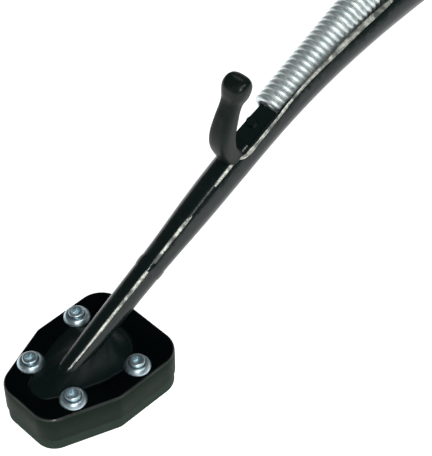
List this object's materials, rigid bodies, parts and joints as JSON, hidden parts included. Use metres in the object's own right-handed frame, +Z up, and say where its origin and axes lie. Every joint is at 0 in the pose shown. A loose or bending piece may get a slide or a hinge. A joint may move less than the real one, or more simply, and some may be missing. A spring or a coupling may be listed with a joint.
{
  "type": "motorcycle side stand",
  "caption": "Folding side stand: ridged forged leg with kick tang, close-wound return spring, clevis bracket and a two-layer foot enlarger clamped by socket screws.",
  "frame": {"origin": "centre of the bracket's mounting face", "axes": "+X from the foot towards the motorcycle and out of the mounting face, +Y towards the front of the motorcycle, +Z up, stand down"},
  "size_m": [0.459, 0.084, 0.229],
  "materials": {
    "black_paint": "satin",
    "black_gloss": "gloss",
    "black_anodised": "satin",
    "sole_black": "matte",
    "zinc": "satin",
    "bronze": "satin",
    "rubber": "matte"
  },
  "bodies": {
    "bracket": {"frame_bracket": "black_paint", "spring_post": "zinc", "stop_pin": "zinc", "bump_pin": "zinc", "bump_roller": "rubber", "pivot_bolt": "zinc", "pivot_washer": "zinc", "thrust_washers": "bronze"},
    "leg": {"leg_bar": "black_gloss", "foot_forging": "black_gloss", "ankle_weld": "black_gloss", "kick_tang": "black_gloss", "anchor_pin": "zinc", "pivot_bush": "bronze", "upper_plate": "black_anodised", "sole_plate": "sole_black", "clamp_screws": "zinc", "cone_washers": "zinc", "sole_nuts": "zinc"},
    "spring": {"return_spring": "zinc"}
  },
  "joints": [
    {"name": "stand_pivot", "type": "hinge", "parent": "bracket", "child": "leg", "pos_m": [-0.06, 0, -0.024], "axis": [-0.4226, 0, 0.9063], "range_deg": [0, 98.85], "deforming": ["return_spring"]},
    {"name": "spring_swing", "type": "hinge", "parent": "leg", "child": "spring", "pos_m": [-0.24901, 0.00568, -0.0718], "axis": [-0.4226, 0, 0.9063], "range_deg": [-5.82, 0]}
  ],
  "couplings": [
    {"joint": "spring_swing", "follows": "stand_pivot", "ratio": -0.0588}
  ]
}
